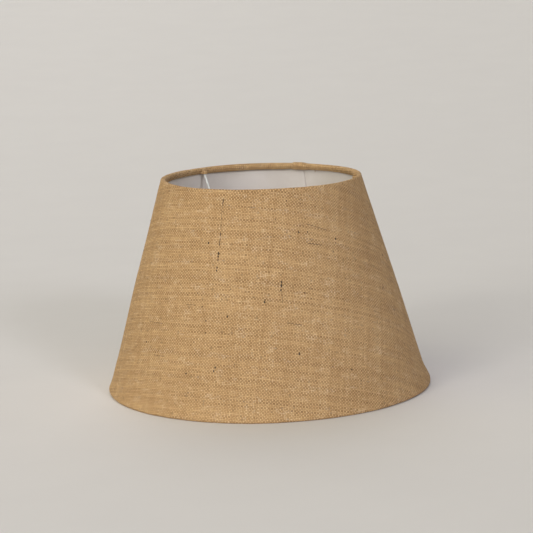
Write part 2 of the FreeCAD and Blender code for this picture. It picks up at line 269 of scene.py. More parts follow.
RIM_LOOSE = 0.25 * MM
RIM_TILT = 0.55 * MM
RIM_EASE = 60 * MM                        # how far down the wall both fade out
SLOW_SWELLS = 0.16 * MM
RIPPLES = 0.07 * MM


def rim_lift(azimuth, level):
    """The cloth sits a little loose on the top ring, and higher on the -X side."""
    fade = smooth(level, TOP_LEVEL - RIM_EASE, TOP_LEVEL - WRAP)
    return fade * (RIM_LOOSE - RIM_TILT * np.cos(azimuth))


def unevenness(azimuth, height):
    """How far the wall stands out from a true cone at a height: slow swells and finer ripples."""
    level = np.full_like(azimuth, height / HEIGHT * math.pi)
    slow = SLOW_SWELLS * sum_of_waves(11, azimuth, level)
    fine = RIPPLES * sum_of_waves(12, azimuth, level, waves=8, fastest=60)
    return slow + fine


def foot_flare(azimuth, height):
    """The wall turns out a little where it is rolled under the bottom ring, and more at one place."""
    bulge = smooth(np.cos(azimuth - FOOT_BULGE_AZIMUTH), 0.55, 1)
    start = FLARE_LENGTH + FOOT_BULGE_RISE * bulge
    return (FLARE + FOOT_BULGE * bulge) * smooth(-height, -start, -2 * MM)


def side_swell(azimuth, height):
    """The wall's outer face stands out a little at both sides: high up at -X and low down at +X."""
    side = np.cos(azimuth)
    high_up = smooth(height, 0.1 * HEIGHT, 0.57 * HEIGHT)
    low_down = 1 - smooth(height, 0.52 * HEIGHT, 0.93 * HEIGHT)
    return SWELL * (high_up * smooth(-side, 0.2, 1) + low_down * smooth(side, 0.2, 1))


def skin(points, outward, shares, offset, top_hem):
    """Grid of positions of one face of the panel, offset along outward from its mid-line."""
    lowest = 0 if offset > 0 else CLOTH
    clips = corner_clip(points)
    rows = []
    for row, (point, away) in enumerate(zip(points, outward)):
        azimuth = azimuths_at(shares, point[0], clips[row])
        on_wall = away[0] > 0.99 * math.cos(LEAN)
        held_off = LAP_ON_WALL if on_wall else LAP_ON_RIM * smooth(away[1], -0.7, 0)
        lift = offset + held_off * lap_share_of(azimuth, point[0]) + unevenness(azimuth, point[1])
        push = PUCKER * top_hem[row] * strut_pucker(azimuth, point[0])
        flare = (foot_flare(azimuth, point[1]) + side_swell(azimuth, point[1])) * smooth(away[0], 0, 0.7)
        corner = RIM_CORNER * smooth(away @ CORNER_WAY, math.cos(CORNER_TURN - LEAN), 1) * CORNER_WAY
        r = point[0] + away[0] * lift - push + flare * math.cos(LEAN) + corner[0]
        z = point[1] + away[1] * lift + rim_lift(azimuth, point[1]) + corner[1]
        z = z + LAP_ON_RIM * under_lap(shares, point[0]) * smooth(-away[1], 0, 0.7)
        z = np.maximum(z, lowest)
        rows.append(np.stack([r * np.cos(azimuth), r * np.sin(azimuth), z], axis=1))
    return np.array(rows)


def thread_grid(points, slant, shares):
    """Thread counts along the weft and the warp of the flat panel, for every row and column."""
    rows = []
    for point, distance, clip in zip(points, slant, corner_clip(points)):
        azimuth = azimuths_at(shares, point[0], clip)
        turn = (azimuth - GRAIN) * math.sin(LEAN)
        rows.append(np.stack([distance * np.sin(turn), distance * np.cos(turn)], axis=1) / THREAD_PITCH)
    return np.array(rows)


def mesh_object(name, positions, faces, material, uv=None):
    """A smooth mesh object in the scene, with an optional UV per vertex in a layer called threads."""
    mesh = bpy.data.meshes.new(name)
    mesh.from_pydata([tuple(p) for p in positions], [], faces)
    mesh.update()
    mesh.polygons.foreach_set("use_smooth", [True] * len(mesh.polygons))
    if uv is not None:
        layer = mesh.uv_layers.new(name="threads")
        corners = np.zeros(len(mesh.loops), np.int32)
        mesh.loops.foreach_get("vertex_index", corners)
        layer.data.foreach_set("uv", np.asarray(uv, np.float32)[corners].ravel())
    mesh.materials.append(material)
    item = bpy.data.objects.new(name, mesh)
    bpy.context.scene.collection.objects.link(item)
    return item


def thick_sheet(name, outer, inner, threads, material):
    """A closed sheet from two grids of the same size, joined along all four edges."""
    rows, columns = outer.shape[:2]
    positions = np.concatenate([outer.reshape(-1, 3), inner.reshape(-1, 3)])
    uv = np.concatenate([threads.reshape(-1, 2), threads.reshape(-1, 2)])
    back = rows * columns
    faces = []
    for row in range(rows - 1):
        for column in range(columns - 1):
            a = row * columns + column
            b, c, d = a + 1, a + columns + 1, a + columns
            faces.append((a, b, c, d))
            faces.append((a + back, d + back, c + back, b + back))
    for column in range(columns - 1):
        a, b = column, column + 1
        faces.append((b, a, a + back, b + back))
        a, b = (rows - 1) * columns + column, (rows - 1) * columns + column + 1
        faces.append((a, b, b + back, a + back))
    for row in range(rows - 1):
        a, b = row * columns, (row + 1) * columns
        faces.append((a, b, b + back, a + back))
        a, b = row * columns + columns - 1, (row + 1) * columns + columns - 1
        faces.append((b, a, a + back, b + back))
    return mesh_object(name, positions, faces, material, uv)


def make_jute_panel(material):
    """The cloth, and how far down the slope from the cone's apex each row of its flat panel lies."""
    points, slant, top_hem = cloth_profile()
    outward = outward_of(points)
    shares = panel_columns()
    outer = skin(points, outward, shares, CLOTH / 2, top_hem)
    inner = skin(points, outward, shares, -CLOTH / 2, top_hem)
    threads = thread_grid(points, slant, shares)
    return thick_sheet("jute_panel", outer, inner, threads, material), slant


# The lining's inner end runs on past the cloth's cut edge and turns down beside it. Each step is how
# far it goes on and how far out.
END_CURL = ((0.2 * MM, 0.12 * MM), (0.1 * MM, 0.3 * MM))
LINING_ROWS = 30


def make_lining_sheet(material):
    """The stiff lining on the cloth's back, from beside the top ring to just over the bottom ring."""
    middle = WRAP - CLOTH - GLUE - LINING / 2
    top = local_to_plane(TOP_RADIUS, TOP_LEVEL, middle, 0)
    foot = local_to_plane(BOTTOM_RADIUS, BOTTOM_LEVEL, middle, WIRE)
    points = np.linspace(top, foot, LINING_ROWS + 1)
    outward = outward_of(points)
    shares = panel_columns()
    flat = np.zeros(len(points))
    outer = skin(points, outward, shares, LINING / 2, flat)
    inner = skin(points, outward, shares, -LINING / 2, flat)
    slant = points[:, 0] / math.sin(LEAN)
    threads = thread_grid(points, slant, shares)
    for onward, lift in END_CURL:
        outer, inner = (past_the_end(grid, outward, onward, lift) for grid in (outer, inner))
        threads = np.concatenate([threads, threads[:, -1:]], axis=1)
    return thick_sheet("lining_sheet", outer, inner, threads, material)


def past_the_end(grid, outward, onward, lift):
    """A grid with one more column past its inner end, moved on round the wall and out towards it."""
    last = grid[:, -1]
    radius = np.hypot(last[:, 0], last[:, 1])
    azimuth = np.arctan2(last[:, 1], last[:, 0]) - onward / radius
    out = lift * outward[:, 0]
    column = np.stack([(radius + out) * np.cos(azimuth), (radius + out) * np.sin(azimuth),
                       last[:, 2] + lift * outward[:, 1]], axis=1)
    return np.concatenate([grid, column[:, None]], axis=1)


# ---------------------------------------------------------------- flecks and fibres


def wall_point(azimuth, level, proud=0.0):
    """A point on the outer face of the wall and the directions out of it, up it and round it."""
    a = math.radians(azimuth)
    swell = float(unevenness(np.array([a]), level)[0]) + float(side_swell(a, level))
    face = WRAP + proud + swell + float(foot_flare(a, level))
    r = TOP_RADIUS + face / math.cos(LEAN) + (TOP_LEVEL - level) * math.tan(LEAN)
    out = Vector((math.cos(LEAN) * math.cos(a), math.cos(LEAN) * math.sin(a), math.sin(LEAN)))
    up = Vector((-math.sin(LEAN) * math.cos(a), -math.sin(LEAN) * math.sin(a), math.cos(LEAN)))
    return Vector((r * math.cos(a), r * math.sin(a), level)), out, up, up.cross(out)


BARK_PROUD = 0.1 * MM
BARK_TILT = 0.16                          # how far the grains turn from straight up, in radians
SCATTER_SIZES = ((1.0, 2.2), (0.4, 0.9))  # ranges of length and width in millimetres

# Azimuth in degrees, and level, length and width in millimetres, of each dark bit of bark, after the
# marks on the real shade.
BARK = (
    (-111.2, 219, 6.9, 0.88), (-111.4, 186, 4.6, 1.1), (-111.5, 180, 5.75, 0.88), (-111.6, 176, 3.45, 0.88),
    (-111.7, 167, 3.68, 1.9), (-111.8, 164, 2.53, 1.6), (-111.8, 160.5, 2.3, 1.1), (-112, 153, 2.76, 1.4),
    (-112.1, 150, 2.3, 1.4), (-117.5, 177, 2.76, 1.6), (-82.8, 138, 2.76, 1.4), (-83, 134.5, 3.91, 1.8),
    (-83.4, 130, 2.76, 1.1), (-90.5, 119, 2.53, 1.8), (-90.2, 121, 1.84, 0.88), (-72.5, 186, 2.3, 1.4),
    (-68, 185.5, 2.07, 1.2), (-73, 125.5, 2.07, 1.1), (-106, 105, 2.76, 1.4), (-53, 175, 2.76, 1.6),
    (-53.4, 171, 1.84, 1.1), (-56, 163, 2.53, 1.1), (-78, 66.5, 3.45, 1.8), (-109.8, 54.5, 2.76, 1.6),
    (-110.3, 51, 2.53, 1.4), (-121.5, 46.5, 2.3, 1.6), (-145, 70.5, 2.3, 1.4), (-58, 44.5, 2.07, 1.4),
    (-77, 218, 2.07, 1.1), (-96, 213, 1.84, 0.88), (-115, 88, 1.84, 1.1), (-117.5, 113.5, 2.07, 1.1),
    (-18.5, 146.5, 2.76, 1.2), (-29, 116, 2.3, 1.2), (-25, 90.5, 2.3, 1.2),
)


def spindle(centre, out, long_way, across, length, width, thick, sides=8, rings=6):
    """A small pointed grain lying on the wall, as vertices and faces."""
    points, faces = [centre - long_way * length / 2], []
    for ring in range(1, rings):
        share = ring / rings
        swell = math.sin(math.pi * share) ** 0.7
        for side in range(sides):
            angle = 2 * math.pi * side / sides
            offset = across * math.cos(angle) * width / 2 + out * math.sin(angle) * thick / 2
            points.append(centre + long_way * length * (share - 0.5) + offset * swell)
    points.append(centre + long_way * length / 2)
    for side in range(sides):
        after = (side + 1) % sides
        faces.append((0, 1 + after, 1 + side))
        for ring in range(rings - 2):
            a, b = 1 + ring * sides + side, 1 + ring * sides + after
            faces.append((a, b, b + sides, a + sides))
        last = 1 + (rings - 2) * sides
        faces.append((last + side, last + after, len(points) - 1))
    return points, faces


# Darker yarns that show for a stretch, also after the real shade: azimuth in degrees, level, length
# and width in millimetres, and the direction they run, in degrees from straight up the wall towards
# larger azimuths.
DARK_YARNS = (
    (-111.5, 207, 32, 0.35, 0), (-62.3, 189, 26, 0.5, 112), (-64.9, 172.5, 17, 0.6, 104),
    (-78.8, 96, 15, 0.5, 102), (-123, 114.6, 12, 0.4, 90), (-141, 92, 22, 0.4, 88), (-136, 60, 16, 0.4, 88),
    (-83, 128, 26, 0.3, 0),
)
YARN_STEP = 4 * MM
YARN_OVERLAP = 1.15                       # each grain's length, as a share of the step to the next


def dark_yarn_grains():
    """The darker yarns as chains of grains that follow the wall."""
    grains = []
    for azimuth, level, length, width, direction in DARK_YARNS:
        tilt = math.radians(direction)
        count = round(length * MM / YARN_STEP)
        for k in range(count):
            along = (k - (count - 1) / 2) * YARN_STEP
            height = level * MM + along * math.cos(tilt) * math.cos(LEAN)
            radius = TOP_RADIUS + (TOP_LEVEL - height) * math.tan(LEAN)
            turned = azimuth + math.degrees(along * math.sin(tilt) / radius)
            grains.append((turned, height, YARN_OVERLAP * YARN_STEP, width * MM, tilt))
    return grains


def make_bark_flecks(material, scattered=120):
    """Dark bits of bark caught in the yarn: the ones placed above and a seeded scatter of small ones."""
    draw = np.random.default_rng(7)
    lengths, widths = SCATTER_SIZES
    grains = [(a, z * MM, n * MM, w * MM, None) for a, z, n, w in BARK]
    for _ in range(scattered):
        azimuth = draw.uniform(-180, 180)
        level = HEIGHT * (0.04 + 0.92 * draw.uniform() ** 0.8)
        length = draw.uniform(*lengths) * MM
        grains.append((azimuth, level, length, draw.uniform(*widths) * MM, None))
    grains += dark_yarn_grains()
    positions, faces = [], []
    for azimuth, level, length, width, tilt in grains:
        centre, out, up, across = wall_point(azimuth, level, BARK_PROUD)
        tilt = draw.normal(0, BARK_TILT) if tilt is None else tilt
        long_way = (up * math.cos(tilt) + across * math.sin(tilt)).normalized()
        side_way = out.cross(long_way).normalized()
        more, cells = spindle(centre, out, long_way, side_way, length, width, 0.5 * width)
        faces += [tuple(index + len(positions) for index in cell) for cell in cells]
        positions += more
    return mesh_object("bark_flecks", positions, faces, material)


def yarn_stub(start, end, bend, radius, sides=6, rings=5):
    """A short loose yarn end from start to end, bowed sideways by bend, as vertices and faces."""
    along = (end - start).normalized()
    across = along.orthogonal().normalized()
    other = along.cross(across)
    points, faces = [], []
    for ring in range(rings):
        share = ring / (rings - 1)
        middle = start.lerp(end, share) + bend * share ** 2
        thick = radius * (1 - 0.6 * share ** 3)
        for side in range(sides):
            angle = 2 * math.pi * side / sides
            points.append(middle + (across * math.cos(angle) + other * math.sin(angle)) * thick)
    for ring in range(rings - 1):
        for side in range(sides):
            a, b = ring * sides + side, ring * sides + (side + 1) % sides
            faces.append((a, b, b + sides, a + sides))
    faces.append(tuple(reversed(range(sides))))
    faces.append(tuple(range((rings - 1) * sides, rings * sides)))
    return points, faces


STUB_TUCK = 1.2 * MM                      # how far back each end starts inside the cloth
LONGEST_END = (54.8, 2.6 * MM, 0.5 * MM)  # under the top hem: azimuth in degrees, length and radius
HEM_ENDS = ((0.2, 1.0), (0.2, 0.3))       # ranges of length and radius in millimetres under the top hem
LAP_ENDS = ((0.15, 1.1), (0.22, 0.34))    # the same along the lap
LAP_ENDS_FROM = 12 * MM


def make_loose_yarns(material, under_hem=64):
    """Yarn ends that stick out of the cut edges: under the top hem and along the outer end of the lap."""
    draw = np.random.default_rng(21)
    points, _, _ = cloth_profile()
    tip_radius, tip_level = points[0]
    stubs = []
    lengths, radii = HEM_ENDS
    hems = [LONGEST_END]
    for _ in range(under_hem):
        azimuth = draw.uniform(-180, 180)
        hems.append((azimuth, draw.uniform(*lengths) * MM, draw.uniform(*radii) * MM))
    for azimuth, length, radius in hems:
        a = math.radians(azimuth)
        if strut_pucker(np.array([a]), tip_radius)[0] > 0 or abs(a - SEAM) < math.radians(12):
            continue
        shift = rim_lift(a, tip_level)
        swell = unevenness(np.array([a]), tip_level)[0]
        down = Vector((math.sin(LEAN) * math.cos(a), math.sin(LEAN) * math.sin(a), -math.cos(LEAN)))
        edge = Vector(((tip_radius - swell) * math.cos(a), (tip_radius - swell) * math.sin(a),
                       tip_level + shift))
        bend = Vector((-math.sin(a), math.cos(a), 0)) * draw.normal(0, 0.25) * length
        stubs.append(yarn_stub(edge - down * STUB_TUCK, edge + down * length, bend, radius))
    lengths, radii = LAP_ENDS
    proud = LAP_ON_WALL - CLOTH / 2
    level = LAP_ENDS_FROM
    while level < TOP_LEVEL - 4 * MM:
        height_radius = TOP_RADIUS + WRAP / math.cos(LEAN) + (TOP_LEVEL - level) * math.tan(LEAN)
        edge_azimuth = SEAM + LAP_WIDTH / height_radius / 2
        edge, out, _, onward = wall_point(math.degrees(edge_azimuth), level, proud)
        length = draw.uniform(*lengths) * MM
        bend = -out * 0.5 * length + Vector((0, 0, draw.normal(0, 0.3) * length))
        radius = draw.uniform(*radii) * MM
        stubs.append(yarn_stub(edge - onward * STUB_TUCK, edge + onward * length, bend, radius))
        level += THREAD_PITCH * draw.uniform(0.8, 1.6)
    positions, faces = [], []
    for more, cells in stubs:
        faces += [tuple(index + len(positions) for index in cell) for cell in cells]
        positions += more
    return mesh_object("loose_yarns", positions, faces, material)


# ---------------------------------------------------------------- materials


class Graph:
    """Short ways to add nodes to one material."""

    def __init__(self, name):
        self.material = bpy.data.materials.new(name)
        self.material.use_nodes = True
        self.nodes = self.material.node_tree.nodes
        self.links = self.material.node_tree.links
        self.nodes.clear()
        self.shader = self.nodes.new("ShaderNodeBsdfPrincipled")
        output = self.nodes.new("ShaderNodeOutputMaterial")
        self.links.new(self.shader.outputs[0], output.inputs["Surface"])

    def feed(self, socket, value):
        if isinstance(value, bpy.types.NodeSocket):
            self.links.new(value, socket)
        elif value is not None:
            socket.default_value = value

    def math(self, operation, a, b=None, c=None, clamp=False):
        node = self.nodes.new("ShaderNodeMath")
        node.operation = operation
        node.use_clamp = clamp
        for socket, value in zip(node.inputs, (a, b, c)):
            self.feed(socket, value)
        return node.outputs[0]

    def times(self, a, b):
        return self.math("MULTIPLY", a, b)

    def add(self, a, b):
        return self.math("ADD", a, b)

    def centred(self, value, width):
        """A value from 0 to 1 moved to centre on 0 and scaled to the given width."""
        return self.times(self.math("SUBTRACT", value, 0.5), width)

    def vector(self, x, y, z):
        node = self.nodes.new("ShaderNodeCombineXYZ")
        for socket, value in zip(node.inputs, (x, y, z)):
            self.feed(socket, value)
        return node.outputs[0]

    def split(self, vector):
        node = self.nodes.new("ShaderNodeSeparateXYZ")
        self.links.new(vector, node.inputs[0])
        return node.outputs

    def noise(self, vector, scale, detail=2.0, roughness=0.5):
        node = self.nodes.new("ShaderNodeTexNoise")
        self.links.new(vector, node.inputs["Vector"])
        node.inputs["Scale"].default_value = scale
        node.inputs["Detail"].default_value = detail
        node.inputs["Roughness"].default_value = roughness
        return node.outputs["Fac"]

    def white(self, vector):
        node = self.nodes.new("ShaderNodeTexWhiteNoise")
        node.noise_dimensions = "3D"
        self.links.new(vector, node.inputs["Vector"])
        return node.outputs["Value"]

    def step(self, value, low, high, to_low=0.0, to_high=1.0):
        node = self.nodes.new("ShaderNodeMapRange")
        node.interpolation_type = "SMOOTHSTEP"
        for name, number in zip(("Value", "From Min", "From Max", "To Min", "To Max"),
                                (value, low, high, to_low, to_high)):
            self.feed(node.inputs[name], number)
        return node.outputs[0]

    def mix(self, factor, a, b):
        node = self.nodes.new("ShaderNodeMix")
        node.data_type = "RGBA"
        self.feed(node.inputs["Factor"], factor)
        for name, value in (("A", a), ("B", b)):
            socket = [s for s in node.inputs if s.name == name and s.type == "RGBA"][0]
            self.feed(socket, value if isinstance(value, bpy.types.NodeSocket) else (*value, 1.0))
        return [s for s in node.outputs if s.type == "RGBA"][0]

    def scale_colour(self, colour, factor):
        node = self.nodes.new("ShaderNodeVectorMath")
        node.operation = "SCALE"
        self.links.new(colour, node.inputs[0])
        self.feed(node.inputs["Scale"], factor)
        return node.outputs[0]

    def tint(self, colour, by):
        node = self.nodes.new("ShaderNodeVectorMath")
        node.operation = "MULTIPLY"
        self.links.new(colour, node.inputs[0])
        self.links.new(by, node.inputs[1])
        return node.outputs[0]

    def coordinates(self, name):
        return self.nodes.new("ShaderNodeTexCoord").outputs[name]

    def bump(self, height, distance):
        node = self.nodes.new("ShaderNodeBump")
        node.inputs["Strength"].default_value = 1.0
        node.inputs["Distance"].default_value = distance
        self.links.new(height, node.inputs["Height"])
        self.links.new(node.outputs[0], self.shader.inputs["Normal"])

    def set(self, **values):
        for name, value in values.items():
            self.feed(self.shader.inputs[name.replace("_", " ")], value)


JUTE_DARK = (0.148, 0.079, 0.034)
JUTE_BROWN = (0.364, 0.213, 0.093)
JUTE_TAN = (0.608, 0.376, 0.174)
JUTE_STRAW = (0.810, 0.582, 0.320)
# Paler fibre colour, used only on the crowns: partly the jute's own tone and partly a painted highlight.
JUTE_PALE_AND_HIGHLIGHT = (0.86, 0.68, 0.50)
JUTE_BARK = (0.045, 0.028, 0.018)
# Painted shade in the gaps between yarns and painted highlight on their crowns, multiplied into the weave's
# colour.
GAP_PAINTED_SHADE = (0.43, 0.28, 0.11)
CROWN_PAINTED_HIGHLIGHT = (1.03, 1.06, 1.13)
SHEEN_TINT = (1.0, 0.9, 0.75)
BARK_TONES = ((0.030, 0.018, 0.012), (0.10, 0.062, 0.035))
LINING_TONES = ((0.813, 0.748, 0.693), (0.875, 0.813, 0.764))
POWDER_TONES = ((0.78, 0.79, 0.76), (0.72, 0.72, 0.69))
TAPE_TONES = ((0.66, 0.63, 0.58), (0.80, 0.78, 0.74))
PAPER_TONES = ((0.714, 0.684, 0.671), (0.727, 0.697, 0.683))


def jute_material():
    """Plain-woven jute: each yarn has its own tone, thick and thin places, twist and stray dark bits, with
    painted shade between the yarns and painted highlights on their crowns.
    """
    g = Graph("jute_weave")
    uv = g.nodes.new("ShaderNodeUVMap")
    uv.uv_map = "threads"
    u0, v0, _ = g.split(uv.outputs[0])

    # The yarns wander a little, slowly over a hand's width and quickly from crossing to crossing.
    slow_u = g.centred(g.noise(g.vector(u0, v0, 0.0), 0.03, 1.0), 1.2)
    slow_v = g.centred(g.noise(g.vector(v0, u0, 40.0), 0.03, 1.0), 1.2)
    quick_u = g.centred(g.noise(g.vector(u0, v0, 9.0), 0.5, 1.0), 0.25)
    quick_v = g.centred(g.noise(g.vector(u0, v0, 19.0), 0.5, 1.0), 0.25)
    u = g.add(u0, g.add(slow_u, quick_u))
    v = g.add(v0, g.add(slow_v, quick_v))
    warp, weft = g.math("FLOOR", u), g.math("FLOOR", v)
    across_warp = g.math("SUBTRACT", g.math("FRACT", u), 0.5)
    across_weft = g.math("SUBTRACT", g.math("FRACT", v), 0.5)

    # Which yarn is over: +1 where the warp is, -1 where the weft is.
    parity = g.times(g.math("FRACT", g.times(g.add(warp, weft), 0.5)), 2.0)
    over = g.math("SUBTRACT", 1.0, g.times(parity, 2.0))
    crown_warp = g.times(over, g.math("COSINE", g.times(across_weft, math.pi)))
    crown_weft = g.times(over, g.math("COSINE", g.times(across_warp, math.pi)))

    # Each yarn's tone and thickness, the same along its length but for slow changes and slubs.
    warp_id = g.white(g.vector(warp, 3.0, 0.0))
    weft_id = g.white(g.vector(weft, 17.0, 5.0))
    warp_run = g.noise(g.vector(g.times(warp, 7.31), g.times(v, 0.12), 2.0), 1.0)
    weft_run = g.noise(g.vector(g.times(u, 0.12), g.times(weft, 7.31), 7.0), 1.0)
    warp_slub = g.step(warp_run, 0.62, 0.74)
    weft_slub = g.step(weft_run, 0.62, 0.74)
    warp_half = g.add(0.36, g.add(g.times(warp_id, 0.08), g.times(warp_slub, 0.12)))
    weft_half = g.add(0.38, g.add(g.times(weft_id, 0.10), g.times(weft_slub, 0.14)))

    def roundness(across, half):
        """1 along a yarn's middle, falling to 0 at half its width and below 0 past that."""
        off_centre = g.math("ABSOLUTE", g.math("DIVIDE", across, half))
        return g.math("SUBTRACT", 1.0, g.math("POWER", off_centre, 2.0))

    round_warp = g.times(roundness(across_warp, warp_half), 0.5)
    round_weft = g.times(roundness(across_weft, weft_half), 0.5)
    high_warp = g.add(g.times(crown_warp, 0.5), round_warp)
    high_weft = g.math("SUBTRACT", round_weft, g.times(crown_weft, 0.5))
    top = g.math("MAXIMUM", g.math("MAXIMUM", high_warp, high_weft), -0.5)
    warp_shows = g.math("GREATER_THAN", high_warp, high_weft)

    # Fibres twisted along each yarn.
    twist_warp = g.add(g.times(u, 9.0), g.times(v, 3.0))
    twist_weft = g.add(g.times(v, 9.0), g.times(u, 3.0))
    warp_fibre = g.noise(g.vector(twist_warp, g.times(v, 1.1), 3.0), 1.0)
    weft_fibre = g.noise(g.vector(g.times(u, 1.1), twist_weft, 6.0), 1.0)
    weft_shows = g.math("SUBTRACT", 1.0, warp_shows)

    def pick(of_warp, of_weft):
        """The value of whichever yarn is on top."""
        return g.add(g.times(warp_shows, of_warp), g.times(weft_shows, of_weft))

    yarn_id = pick(g.math("MULTIPLY_ADD", warp_id, 0.5, 0.25), weft_id)
    run = pick(g.math("MULTIPLY_ADD", warp_run, 0.6, 0.2), weft_run)
    slub = pick(warp_slub, weft_slub)
    fibre = pick(warp_fibre, weft_fibre)
    cell = g.white(g.vector(warp, weft, 1.0))

    # Tone from 0, dark, to 1, pale.
    patch = g.noise(g.vector(u0, v0, 60.0), 0.035, 3.0)
    tone = 0.42
    for value, share in ((yarn_id, 0.20), (run, 0.42), (fibre, 0.5), (cell, 0.10), (patch, 0.18)):
        tone = g.add(tone, g.centred(value, share))
    # The warp is lighter than the weft where it shows: partly the yarns' own tone, partly painted light for
    # how the upright yarns catch the light.
    tone = g.add(tone, g.times(warp_shows, 0.24))
    tone = g.math("ADD", tone, g.times(slub, 0.12), clamp=True)

    ramp = g.nodes.new("ShaderNodeValToRGB")
    stops = ((0.0, JUTE_DARK), (0.32, JUTE_BROWN), (0.6, JUTE_TAN), (1.0, JUTE_STRAW))
    while len(ramp.color_ramp.elements) < len(stops):
        ramp.color_ramp.elements.new(0.5)
    for element, (position, colour) in zip(ramp.color_ramp.elements, stops):
        element.position = position
        element.color = (*colour, 1.0)
    g.links.new(tone, ramp.inputs[0])

    # Painted shade between the yarns, darker and more orange, and a painted highlight on their crowns,
    # paler.
    shade = g.mix(g.step(top, -0.35, 0.75), GAP_PAINTED_SHADE, CROWN_PAINTED_HIGHLIGHT)
    colour = g.tint(ramp.outputs[0], shade)
    dark_bit = g.times(g.math("GREATER_THAN", cell, 0.991), g.step(fibre, 0.35, 0.6))
    colour = g.mix(g.times(dark_bit, 0.6), colour, JUTE_BARK)
    # Pale fibres in clusters, only on the yarns' crowns: partly the jute's own paler tone and partly a
    # painted highlight.
    cluster = g.noise(g.vector(g.times(u0, 0.5), v0, 80.0), 0.2, 3.0)
    pale_fibre_and_highlight = g.times(g.step(cluster, 0.48, 0.66), g.step(cell, 0.25, 0.95))
    pale_fibre_and_highlight = g.times(pale_fibre_and_highlight, g.step(top, 0.2, 0.9))
    colour = g.mix(g.times(pale_fibre_and_highlight, 0.36), colour, JUTE_PALE_AND_HIGHLIGHT)
    g.links.new(colour, g.shader.inputs["Base Color"])
    g.links.new(g.step(top, -0.3, 1.0, 0.97, 0.8), g.shader.inputs["Roughness"])
    g.set(Specular_IOR_Level=0.15, Sheen_Weight=0.03, Sheen_Roughness=0.5)
    g.shader.inputs["Sheen Tint"].default_value = (*SHEEN_TINT, 1.0)
    g.bump(g.add(top, g.times(fibre, 0.25)), 0.55 * MM)
    return g.material


def yarn_material():
    """Loose jute ends: the cloth's browns in fine streaks."""
    g = Graph("loose_jute")
    streak = g.noise(g.coordinates("Object"), 1600.0, 3.0)
    colour = g.mix(g.step(streak, 0.3, 0.7), JUTE_DARK, JUTE_TAN)
    g.links.new(colour, g.shader.inputs["Base Color"])
    g.links.new(g.step(streak, 0.3, 0.7, 0.95, 0.8), g.shader.inputs["Roughness"])
    g.bump(streak, 0.08 * MM)
    return g.material


def bark_material():
    """Dark brown bark with a fine grain."""
    g = Graph("bark")
    grain = g.noise(g.coordinates("Object"), 900.0, 3.0)
    colour = g.mix(grain, *BARK_TONES)
    g.links.new(colour, g.shader.inputs["Base Color"])
    g.links.new(g.step(grain, 0.3, 0.7, 0.7, 0.95), g.shader.inputs["Roughness"])
    g.bump(grain, 0.1 * MM)
    return g.material


def lining_material():
    """White PVC lining: nearly smooth, with the faint cast of the cloth glued behind it."""
    g = Graph("white_lining")
    place = g.coordinates("Object")
    cloud = g.noise(place, 28.0, 4.0, 0.6)
    grain = g.noise(place, 1400.0, 2.0)
    colour = g.mix(g.step(cloud, 0.3, 0.7), *LINING_TONES)
    g.links.new(colour, g.shader.inputs["Base Color"])
    g.links.new(g.step(grain, 0.3, 0.7, 0.50, 0.62), g.shader.inputs["Roughness"])
    g.set(Specular_IOR_Level=0.4)
    g.bump(g.add(grain, g.times(cloud, 3.0)), 0.03 * MM)
    return g.material


def steel_material():
    """White powder coat with a slight orange peel."""
    g = Graph("white_powder_coat")
    place = g.coordinates("Object")
    peel = g.noise(place, 900.0, 2.0)
    dust = g.noise(place, 60.0, 4.0)
    colour = g.mix(g.step(dust, 0.35, 0.75), *POWDER_TONES)
    g.links.new(colour, g.shader.inputs["Base Color"])
    g.links.new(g.step(peel, 0.3, 0.7, 0.30, 0.42), g.shader.inputs["Roughness"])
    g.bump(peel, 0.05 * MM)
    return g.material


TAPE_RIBS = 1400.0                        # how many go round the ring
TAPE_ROW = 0.5 * MM


def tape_material():
    """White cotton tape with a fine ribbed face."""
    g = Graph("cotton_tape")
    place = g.coordinates("Object")
    x, y, z = g.split(place)
    turn = g.math("ARCTAN2", y, x)
    ribs = g.math("SINE", g.times(turn, TAPE_RIBS))
    rows = g.math("SINE", g.times(z, 2 * math.pi / TAPE_ROW))
    relief = g.add(g.times(ribs, rows), g.noise(place, 700.0))
    colour = g.mix(g.step(relief, -0.6, 1.6), *TAPE_TONES)
    g.links.new(colour, g.shader.inputs["Base Color"])
    g.links.new(g.step(relief, -0.5, 1.5, 0.92, 0.8), g.shader.inputs["Roughness"])
    g.bump(relief, 0.05 * MM)
    return g.material


# Painted shade across the paper: lighter towards -X, darker towards +X, changing over this distance each
# side of the middle.
PAPER_PAINTED_SHADE_SPAN = 0.8                          # from the middle to where the paper's tone stops changing
PAPER_LEFT_PAINTED_LIGHT = 1.03
PAPER_RIGHT_PAINTED_SHADE = 0.95


def paper_material():
    """Seamless pale studio paper with painted shade: a little lighter towards -X and darker towards +X."""
    g = Graph("studio_paper")
    place = g.coordinates("Object")
    grain = g.noise(place, 9.0, 5.0, 0.6)
    colour = g.mix(g.step(grain, 0.25, 0.75), *PAPER_TONES)
    across = g.split(place)[0]
    # Painted light and shade: the paper's colour is scaled up towards -X and down towards +X.
    colour = g.scale_colour(colour, g.step(across, -PAPER_PAINTED_SHADE_SPAN, PAPER_PAINTED_SHADE_SPAN, PAPER_LEFT_PAINTED_LIGHT, PAPER_RIGHT_PAINTED_SHADE))
    g.links.new(colour, g.shader.inputs["Base Color"])
    g.set(Roughness=0.85, Specular_IOR_Level=0.2)
    return g.material


# ---------------------------------------------------------------- the pieces

jute = jute_material()
jute_panel, slant = make_jute_panel(jute)
lining_sheet = make_lining_sheet(lining_material())
bark_flecks = make_bark_flecks(bark_material())
loose_yarns = make_loose_yarns(yarn_material())

for piece, slot_name in ((jute_panel, "jute"), (lining_sheet, "lining"), (bark_flecks, "jute"),
                         (loose_yarns, "jute")):
    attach(piece, "root")
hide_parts("jute_cover")
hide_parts("pvc_lining")

